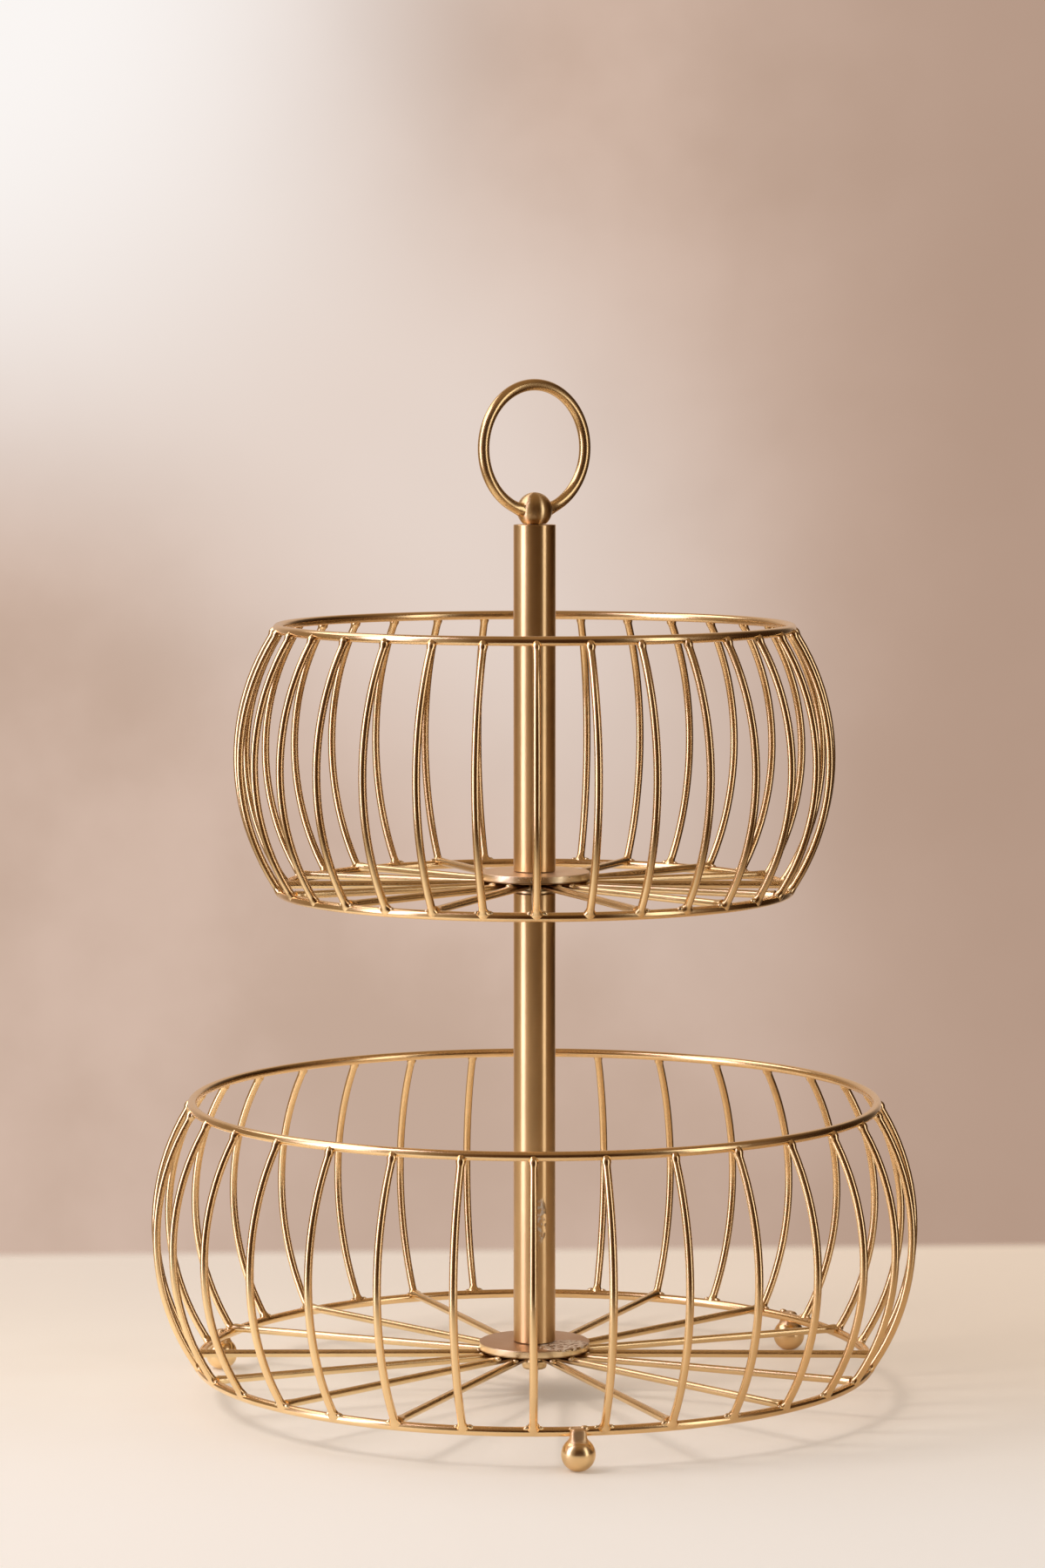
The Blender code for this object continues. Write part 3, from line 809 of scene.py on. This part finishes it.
def basket(tier, body, base_radius, rim_radius, level, turn):
    """All the wires of one basket and their welds."""
    chance = random.Random(f"{tier} {WELD_SEED}")
    ribs, welds, floor_wires, rim, floor_ring = [([], []) for _ in range(5)]
    path = rib_path(base_radius, rim_radius)
    rim_level = level + TIER_HEIGHT
    for number in range(RIB_COUNT):
        angle = turn + math.tau * number / RIB_COUNT
        rib(ribs, path, level, angle, chance)
        rim_bead(welds, rim_radius, rim_level, angle, chance)
        rib_foot_beads(welds, base_radius, level, angle, chance)
    for number in range(SPOKE_COUNT):
        angle = turn + math.tau * number / SPOKE_COUNT
        spoke(floor_wires, base_radius, level, angle, chance)
        hub_bead(welds, level, angle, chance)
    wire_ring(rim, rim_radius, rim_level, RING_WIRE_RADIUS)
    wire_ring(floor_ring, base_radius, level, RING_WIRE_RADIUS)
    wall_node = tier + "_rim_and_ribs"
    spoke_nodes = [f"{tier}_spoke_{number + 1:02d}" for number in range(SPOKE_COUNT)]
    piece(tier + "_rim", rim, body, WIRE_METAL, [wall_node])
    piece(tier + "_ribs", ribs, body, WIRE_METAL, [wall_node])
    piece(tier + "_floor_ring", floor_ring, body, WIRE_METAL, [tier + "_base_ring"])
    piece(tier + "_floor_wires", floor_wires, body, FLOOR_WIRE_METAL, spoke_nodes)
    piece(tier + "_welds", welds, body, WELD_METAL)


# Hub, post and handle


def hub(tier, body, level, material):
    """A hub disc with its edges rounded over."""
    shape = bored_round(BORE_RADIUS, DISC_RADIUS, HUB_RISE, HUB_RISE + DISC_THICKNESS, DISC_EDGE, level)
    piece(tier + "_disc", shape, body, material, [tier + "_hub_disc"])


def collar(name, radius, top, thickness, node):
    """A small bored round piece under a hub."""
    shape = bored_round(BORE_RADIUS, radius, top - thickness, top, SMALL_EDGE)
    piece(name, shape, "post_and_lower_basket", FASTENER_METAL, [node])


def under_hub(tier, level):
    """The bush and the washer under a hub disc."""
    bush_top = level + HUB_RISE - GAP
    washer_top = bush_top - BUSH_HEIGHT - GAP
    collar(tier + "_bush", BUSH_RADIUS, bush_top, BUSH_HEIGHT, tier + "_hub_bush")
    collar(tier + "_collar", WASHER_RADIUS, washer_top, WASHER_THICKNESS, tier + "_washer")


def post_tube(name, ends, node):
    """One tube of the post."""
    shape = bored_round(TUBE_RADIUS - TUBE_WALL, TUBE_RADIUS, *ends, TUBE_EDGE)
    piece(name, shape, "post_and_lower_basket", TUBE_METAL, [node])


def top_plug():
    """The plug that closes the top of the post."""
    top = UPPER_TUBE[1]
    shape = bored_round(BORE_RADIUS, PLUG_RADIUS, top - PLUG_LENGTH, top, SMALL_EDGE)
    node = "upper_tube_top_plug"
    piece("post_top_plug", shape, "post_and_lower_basket", TUBE_METAL, [node])


def hexagon(radius, level):
    """A hexagon drawn with as many points as a circle has."""
    loop = []
    for segment in range(ROUND_SEGMENTS):
        angle = math.tau * segment / ROUND_SEGMENTS
        reach = radius * math.cos(math.pi / 6) / math.cos(angle % (math.pi / 3) - math.pi / 6)
        loop.append(outward(angle) * reach + UP * level)
    return loop


def screw():
    """The domed screw under the lower hub, with its hexagon socket."""
    bottom, top = SCREW_HEAD
    dome = (top - bottom) / 2
    outline = [(STUD_RADIUS, LOWER_TUBE[0]), (STUD_RADIUS, top), (SCREW_HEAD_RADIUS, top)]
    for step in range(DOME_STEPS + 1):
        turn = math.pi / 2 * step / DOME_STEPS
        outline.append((SCREW_FACE_RADIUS + dome * math.cos(turn), bottom + dome * (1 - math.sin(turn))))
    loops = [circle(radius, level, Vector()) for radius, level in outline]
    loops.append(hexagon(SCREW_SOCKET_RADIUS, bottom))
    loops.append(hexagon(SCREW_SOCKET_RADIUS, bottom + SCREW_SOCKET_DEPTH))
    shape = ([], [])
    skin(shape, loops)
    piece("post_screw", shape, "post_and_lower_basket", FASTENER_METAL, ["base_screw"])


def thread():
    """The threaded stud that the handle screws down on."""
    count = round((STUD_TOP - STUD_BOTTOM) / THREAD_PITCH * THREAD_STEPS)
    loops = []
    for step in range(count + 1):
        level = STUD_BOTTOM + (STUD_TOP - STUD_BOTTOM) * step / count
        from_end = min(level - STUD_BOTTOM, STUD_TOP - level)
        loop = []
        for segment in range(ROUND_SEGMENTS):
            turn = segment / ROUND_SEGMENTS
            phase = (level / THREAD_PITCH - turn) % 1.0
            radius = STUD_RADIUS - THREAD_DEPTH * (1 - abs(2 * phase - 1))
            radius = min(radius, STUD_RADIUS - THREAD_DEPTH + from_end)
            loop.append(outward(math.tau * turn) * radius + UP * level)
        loops.append(loop)
    shape = ([], [])
    skin(shape, loops)
    piece("handle_thread", shape, "handle_stud", STUD_METAL, ["handle_stud"])


def handle_ball():
    """The ball of the handle, flat underneath and bored for the stud."""
    outline = ball_outline(HANDLE_BALL_RADIUS, HANDLE_BALL_SEAT_DEPTH)
    outline.append((BORE_RADIUS, -HANDLE_BALL_SEAT_DEPTH))
    outline.append((BORE_RADIUS, HANDLE_BALL_BORE_DEPTH - HANDLE_BALL_SEAT_DEPTH))
    shape = turned(outline, UP * HANDLE_BALL_CENTRE)
    piece("handle_knob", shape, "handle", KNOB_METAL, ["handle_ball"])


def handle_loop():
    """The ring of the handle, open at the bottom and flared into the ball at both ends."""
    ring_plane = along_ring(HANDLE_TURN)
    centre = UP * (HANDLE_BALL_CENTRE + HANDLE_RING_RADIUS - HANDLE_RING_DROP)
    points, sizes = [], []
    for step in range(HANDLE_STEPS + 1):
        turn = HANDLE_RING_START + (math.tau - 2 * HANDLE_RING_START) * step / HANDLE_STEPS
        points.append(centre + (ring_plane * math.sin(turn) - UP * math.cos(turn)) * HANDLE_RING_RADIUS)
        from_end = min(turn, math.tau - turn) - HANDLE_RING_START
        flare = HANDLE_FLARE * smooth(1 - from_end / HANDLE_FLARE_ANGLE) ** 2
        sizes.append((HANDLE_WIRE_RADIUS + flare, HANDLE_WIRE_RADIUS + flare))
    shape = ([], [])
    sweep(shape, points, sizes, outward(HANDLE_TURN), HANDLE_SIDES)
    piece("handle_loop", shape, "handle", HANDLE_METAL, ["handle_ring"])


def handle_welds():
    """The small beads of weld over the wire's ends where they meet the ball."""
    chance = random.Random(f"handle {WELD_SEED}")
    ring_plane, facing = along_ring(HANDLE_TURN), outward(HANDLE_TURN)
    spread = math.sqrt(HANDLE_BALL_RADIUS**2 - HANDLE_BEAD_REACH**2)
    shape = ([], [])
    for direction in (-1, 1):
        for turn in HANDLE_BEAD_TURNS:
            angle = math.radians(turn)
            level = HANDLE_BEAD_REACH * math.cos(angle)
            forward = HANDLE_BEAD_REACH * math.sin(angle)
            centre = ring_plane * direction * spread + facing * forward
            centre += UP * (HANDLE_BALL_CENTRE + level + HANDLE_BEAD_RISE)
            along = UP * -math.sin(angle) + facing * math.cos(angle)
            across = UP * math.cos(angle) + facing * math.sin(angle)
            size = chance.uniform(*HANDLE_BEAD_RANGE)
            bead(shape, centre, (along, ring_plane, across), HANDLE_BEAD, size)
    piece("handle_welds", shape, "handle", WELD_METAL)


# Feet


def lug(shape, out, side, centre):
    """The lug between a foot's ball and the base ring, round at the ball and flat-faced above."""
    loops = []
    for level, depth, width, squareness in FOOT_LUG:
        loop = []
        for segment in range(LUG_SIDES):
            turn = math.tau * segment / LUG_SIDES
            powers = abs(math.cos(turn)) ** squareness + abs(math.sin(turn)) ** squareness
            across = out * math.cos(turn) * depth + side * math.sin(turn) * width
            loop.append(centre + across * powers ** (-1 / squareness) + UP * level)
        loops.append(loop)
    skin(shape, loops)


def lug_beads(shape, out, side, chance):
    """The tacks of weld at both sides of a foot's lug, the right-hand one larger."""
    for direction, sizes in LUG_BEAD_RANGES.items():
        centre = out * (LOWER_BASE_RADIUS + LUG_BEAD_OUT) + side * direction * LUG_BEAD_SIDE
        centre += UP * (LOWER_RING_HEIGHT + LUG_BEAD_RISE)
        bead(shape, centre, (side, out, UP), LUG_BEAD, chance.uniform(*sizes))


def feet():
    """The three ball feet, each with a small flat below, their lugs and the welds above them."""
    chance = random.Random(f"feet {WELD_SEED}")
    lugs, welds = ([], []), ([], [])
    for node, angle in FOOT_ANGLES.items():
        out, side = outward(angle), along_ring(angle)
        centre = out * (LOWER_BASE_RADIUS + FOOT_OFFSET)
        ball = turned(ball_outline(FOOT_BALL_RADIUS, FOOT_BALL_HEIGHT), centre + UP * FOOT_BALL_HEIGHT)
        lug(lugs, out, side, centre)
        lug_beads(welds, out, side, chance)
        piece(node + "_ball", ball, "post_and_lower_basket", BALL_METAL, [node])
    piece("foot_lugs", lugs, "post_and_lower_basket", LUG_METAL)
    piece("foot_welds", welds, "post_and_lower_basket", WELD_METAL)


def hidden_parts():
    """Give the CAD pieces that stay, deep in the post, their metals."""
    for node in ("lower_tube_bottom_plug", "lower_tube_top_plug", "upper_tube_bottom_plug"):
        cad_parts[node].material_slots[0].material = TUBE_METAL
    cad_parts["joining_stud"].material_slots[0].material = STUD_METAL


# Stage

BLACK = (0.0, 0.0, 0.0)

# Floor. Spans are along X or Y, or by the distance from the post
FLOOR_RADIUS = 3.0
FLOOR_SEGMENTS = 128
FLOOR_ROUGHNESS = 0.55
FLOOR_MOTTLE = 14.0
FLOOR_DARK = (0.80, 0.725, 0.63)
FLOOR_LIGHT = (0.83, 0.76, 0.665)
FLOOR_BACK = (0.73, 0.65, 0.57)
FLOOR_BACK_SPAN = (0.00, 0.26)
# Painted shade: darker and yellower to the right, where the baskets' shadows fall
FLOOR_RIGHT_SHADE = (0.80, 0.665, 0.53)
FLOOR_RIGHT_SHADE_SPAN = (-0.12, 0.22)
# Painted light: paler and more neutral in front, where the floor is brightest
FLOOR_LIT_FRONT = (0.83, 0.80, 0.77)
FLOOR_LIT_FRONT_SPAN = (0.10, -0.22)
FLOOR_GLOW = (0.17, 0.15, 0.125)
FLOOR_FADE_SPAN = (1.0, 1.9)
TABLE_BACK = 0.30
TABLE_BACK_BLUR = 0.013
TABLE_BACK_SLANT = 0.06

# The floor as the metal mirrors it: dark at the right, bright at the left and soon gone
MIRRORED_SHADE = (0.70, 0.54, 0.39)
MIRRORED_SHADE_SPAN = (-0.10, 0.16)
MIRRORED_GLARE = (0.46, 0.44, 0.42)
MIRRORED_GLARE_SPAN = (-0.05, -0.30)
MIRRORED_FADE_SPAN = (0.17, 0.50)

# Wall, by the direction that it is seen in. A span's last two numbers are its least and full force
WALL_CLOUDS = 16.0
WALL_SHADE = (0.55, 0.395, 0.31)
WALL_COLOUR = (0.66, 0.49, 0.40)
# Painted shade at the right of the wall, and a painted beam of light slanting across it
WALL_RIGHT_SHADE = (0.43, 0.287, 0.214)
WALL_RIGHT_SHADE_SPAN = (0.00, 0.10, 0.0, 0.8)
WALL_BEAM = (0.80, 0.68, 0.61)
WALL_BEAM_SLANT = 0.71
WALL_BEAM_OFFSET = 0.032
WALL_BEAM_SPAN = (0.105, 0.010, 0.0, 0.9)
WALL_BEAM_END = (0.075, -0.020)
WALL_LIGHT = (0.96, 0.92, 0.895)
WALL_LIGHT_CENTRE = (-0.15, 1.0, 0.11)
WALL_LIGHT_REACH = 0.165
WALL_LIGHT_CORE = 0.05

# The room as the metal mirrors it, by degrees round the post, and the light that fills the shadows
ROOM_WALL = (0.61, 0.47, 0.39)
ROOM = (
    (-180, ROOM_WALL),
    (-158, ROOM_WALL),
    (-137, (0.32, 0.22, 0.15)),
    (-108, (0.25, 0.165, 0.09)),
    (-87, (0.32, 0.25, 0.17)),
    (-63, (0.55, 0.46, 0.36)),
    (-42, (0.32, 0.25, 0.18)),
    (-22, (0.105, 0.050, 0.018)),
    (-2, (0.045, 0.016, 0.003)),
    (16, (0.038, 0.013, 0.002)),
    (36, (0.048, 0.019, 0.004)),
    (56, (0.25, 0.19, 0.14)),
    (80, (0.135, 0.075, 0.038)),
    (104, (0.025, 0.009, 0.002)),
    (130, (0.030, 0.012, 0.003)),
    (150, (0.08, 0.056, 0.040)),
    (164, ROOM_WALL),
    (180, ROOM_WALL),
)
CEILING_COLOUR = (0.26, 0.16, 0.085)
CEILING_SPAN = (0.40, 0.95)
FILL_COLOUR = (0.435, 0.40, 0.362)

# The height that the lamps point at
LAMP_AIM = 0.19

# The camera, as solved from the photograph
CAMERA_PLACE = (0.0044, -1.7793, 0.3850)
CAMERA_DIP = math.radians(4.828)
CAMERA_TURN = math.radians(0.289)
CAMERA_LENS = 107.92
CAMERA_SENSOR = 36.0


def floor_colour(tree, place, axes):
    """The floor's colour: mottled, darker at the back, painted shade at the right and painted light in
    front.
    """
    mottle = tree.spread(tree.noise(place, FLOOR_MOTTLE, 4.0))
    colour = tree.blend(mottle, rgba(FLOOR_DARK), rgba(FLOOR_LIGHT))
    colour = tree.blend(tree.remap(axes["Y"], *FLOOR_BACK_SPAN), colour, rgba(FLOOR_BACK))
    colour = tree.blend(tree.remap(axes["X"], *FLOOR_RIGHT_SHADE_SPAN), colour, rgba(FLOOR_RIGHT_SHADE))
    return tree.blend(tree.remap(axes["Y"], *FLOOR_LIT_FRONT_SPAN), colour, rgba(FLOOR_LIT_FRONT))


def floor_fade(tree, place, axes, mirrored):
    """1 where the floor has given way to the room: far off, and past the table's back edge."""
    distance = tree.vectors("LENGTH", place)
    back_line = tree.maths("SUBTRACT", axes["Y"], tree.times(axes["X"], TABLE_BACK_SLANT))
    past_back = tree.remap(back_line, TABLE_BACK - TABLE_BACK_BLUR, TABLE_BACK + TABLE_BACK_BLUR)
    fade = tree.larger(tree.remap(distance, *FLOOR_FADE_SPAN), past_back)
    mirrored_fade = tree.times(tree.remap(distance, *MIRRORED_FADE_SPAN), mirrored)
    return tree.larger(fade, mirrored_fade)


def floor_paint():
    """Pale paint with a faint glow of its own, and other colours where the metal mirrors it."""
    material, tree = new_material("floor_paint")
    place = tree.place()
    axes = tree.axes(place)
    rays = tree.rays()
    mirrored = rays["Is Glossy Ray"]
    shade = tree.times(tree.remap(axes["X"], *MIRRORED_SHADE_SPAN), mirrored)
    glare = tree.times(tree.remap(axes["X"], *MIRRORED_GLARE_SPAN), mirrored)
    colour = tree.blend(shade, floor_colour(tree, place, axes), rgba(MIRRORED_SHADE))
    paint = tree.add("ShaderNodeBsdfPrincipled", {"Base Color": colour, "Roughness": FLOOR_ROUGHNESS})
    glow_colour = tree.blend(glare, rgba(FLOOR_GLOW), rgba(MIRRORED_GLARE))
    glow_colour = tree.blend(shade, glow_colour, rgba(BLACK))
    seen = tree.larger(tree.larger(rays["Is Camera Ray"], mirrored), rays["Is Transmission Ray"])
    glow = tree.add("ShaderNodeEmission", {"Color": glow_colour, "Strength": seen})
    lit = tree.add("ShaderNodeAddShader", {0: paint.outputs[0], 1: glow.outputs[0]})
    clear = tree.add("ShaderNodeBsdfTransparent")
    fade = floor_fade(tree, place, axes, mirrored)
    mixed = tree.add("ShaderNodeMixShader", {0: fade, 1: lit.outputs[0], 2: clear.outputs[0]})
    tree.add("ShaderNodeOutputMaterial", {"Surface": mixed.outputs[0]})
    return material


def studio_floor():
    """A round pale floor that fades out into the surroundings."""
    mesh = bpy.data.meshes.new("studio_floor")
    work = bmesh.new()
    bmesh.ops.create_circle(work, cap_ends=True, segments=FLOOR_SEGMENTS, radius=FLOOR_RADIUS)
    work.to_mesh(mesh)
    work.free()
    mesh.materials.append(floor_paint())
    floor = bpy.data.objects.new("studio_floor", mesh)
    bpy.context.scene.collection.objects.link(floor)


def wall_paint(tree, direction):
    """The wall's colour: faintly clouded, with a painted slanting beam and pool of light at the left, and
    painted shade at the right.
    """
    axes = tree.axes(direction)
    clouds = tree.spread(tree.noise(direction, WALL_CLOUDS, 5.0))
    slant = tree.plus(axes["Z"], tree.times(axes["X"], WALL_BEAM_SLANT))
    off_beam = tree.maths("ABSOLUTE", tree.plus(slant, WALL_BEAM_OFFSET))
    beam = tree.times(tree.remap(off_beam, *WALL_BEAM_SPAN), tree.remap(axes["X"], *WALL_BEAM_END))
    light = tree.pool(direction, WALL_LIGHT_CENTRE, WALL_LIGHT_REACH, WALL_LIGHT_CORE)
    colour = tree.blend(clouds, rgba(WALL_SHADE), rgba(WALL_COLOUR))
    colour = tree.blend(tree.remap(axes["X"], *WALL_RIGHT_SHADE_SPAN), colour, rgba(WALL_RIGHT_SHADE))
    colour = tree.blend(beam, colour, rgba(WALL_BEAM))
    return tree.blend(light, colour, rgba(WALL_LIGHT))


def mirrored_room(tree, axes):
    """The room that the metal mirrors: bright and dark stretches round the post, under a ceiling."""
    azimuth = tree.maths("ARCTAN2", axes["X"], tree.times(axes["Y"], -1.0))
    place = tree.plus(tree.maths("DIVIDE", azimuth, math.tau), 0.5)
    ramp = tree.add("ShaderNodeValToRGB", {0: place})
    stops = ramp.color_ramp.elements
    for degrees, colour in ROOM[1:-1]:
        stops.new(degrees / 360 + 0.5).color = rgba(colour)
    stops[0].color = rgba(ROOM[0][1])
    stops[-1].color = rgba(ROOM[-1][1])
    return tree.blend(tree.remap(axes["Z"], *CEILING_SPAN), ramp.outputs[0], rgba(CEILING_COLOUR))


def surroundings():
    """The room: a wall to the eye, to the metal a room that is dark in front, and plain fill light."""
    world = bpy.data.worlds.new("studio")
    bpy.context.scene.world = world
    world.use_nodes = True
    tree = Tree(world.node_tree)
    direction = tree.add("ShaderNodeTexCoord").outputs["Generated"]
    rays = tree.rays()
    gloss = tree.larger(rays["Is Glossy Ray"], rays["Is Transmission Ray"])
    colour = tree.blend(gloss, rgba(FILL_COLOUR), mirrored_room(tree, tree.axes(direction)))
    colour = tree.blend(rays["Is Camera Ray"], colour, wall_paint(tree, direction))
    background = tree.add("ShaderNodeBackground", {"Color": colour})
    tree.add("ShaderNodeOutputWorld", {"Surface": background.outputs[0]})


def soft_lamp(name, azimuth, elevation, distance, size, radiance, colour):
    """A soft box that faces the object, placed by its direction from it."""
    width, height = size
    lamp = bpy.data.lights.new(name, "AREA")
    lamp.shape = "RECTANGLE"
    lamp.size = width
    lamp.size_y = height
    lamp.energy = radiance * math.pi * width * height
    lamp.color = colour
    holder = bpy.data.objects.new(name, lamp)
    bpy.context.scene.collection.objects.link(holder)
    aim = outward(math.radians(azimuth)) * math.cos(math.radians(elevation))
    aim += UP * math.sin(math.radians(elevation))
    holder.location = aim * distance + UP * LAMP_AIM
    holder.rotation_euler = aim.to_track_quat("Z", "Y").to_euler()
    return holder


def lamps():
    """The soft boxes: the left one only glints in metal, the top and key ones light only matt things."""
    left = soft_lamp(
        "left_softbox", azimuth=-66, elevation=20, distance=1.5,
        size=(0.66, 2.4), radiance=2.8, colour=(1.0, 0.89, 1.22))
    left.visible_diffuse = False
    soft_lamp(
        "right_softbox", azimuth=57, elevation=10, distance=1.5,
        size=(0.42, 1.6), radiance=1.7, colour=(1.0, 0.96, 0.97))
    soft_lamp(
        "high_softbox", azimuth=-108, elevation=45, distance=1.6,
        size=(1.1, 0.8), radiance=2.0, colour=(1.0, 0.93, 1.00))
    top = soft_lamp(
        "top_softbox", azimuth=-150, elevation=75, distance=1.6,
        size=(1.1, 1.1), radiance=0.8, colour=(1.0, 0.95, 0.90))
    top.visible_glossy = False
    key = soft_lamp(
        "key_softbox", azimuth=-66, elevation=45, distance=1.5,
        size=(0.4, 0.4), radiance=15.5, colour=(1.0, 0.93, 0.87))
    key.visible_glossy = False


def camera():
    """The photograph's view."""
    lens = bpy.data.cameras.new("photo_view")
    lens.sensor_width = CAMERA_SENSOR
    lens.lens = CAMERA_LENS
    holder = bpy.data.objects.new("photo_view", lens)
    bpy.context.scene.collection.objects.link(holder)
    holder.location = CAMERA_PLACE
    holder.rotation_euler = (math.pi / 2 - CAMERA_DIP, 0, CAMERA_TURN)
    bpy.context.scene.camera = holder


basket("lower", "post_and_lower_basket", LOWER_BASE_RADIUS, LOWER_RIM_RADIUS, LOWER_RING_HEIGHT, 0.0)
basket("upper", "upper_basket", UPPER_BASE_RADIUS, UPPER_RIM_RADIUS, UPPER_RING_HEIGHT, UPPER_TIER_TURN)
hub("lower", "post_and_lower_basket", LOWER_RING_HEIGHT, LOWER_DISC_METAL)
hub("upper", "upper_basket", UPPER_RING_HEIGHT, UPPER_DISC_METAL)
under_hub("lower", LOWER_RING_HEIGHT)
under_hub("upper", UPPER_RING_HEIGHT)
post_tube("post_lower", LOWER_TUBE, "lower_tube")
post_tube("post_upper", UPPER_TUBE, "upper_tube")
top_plug()
screw()
thread()
handle_ball()
handle_loop()
handle_welds()
feet()
hidden_parts()
studio_floor()
surroundings()
lamps()
camera()
bpy.context.scene.view_settings.view_transform = "Standard"
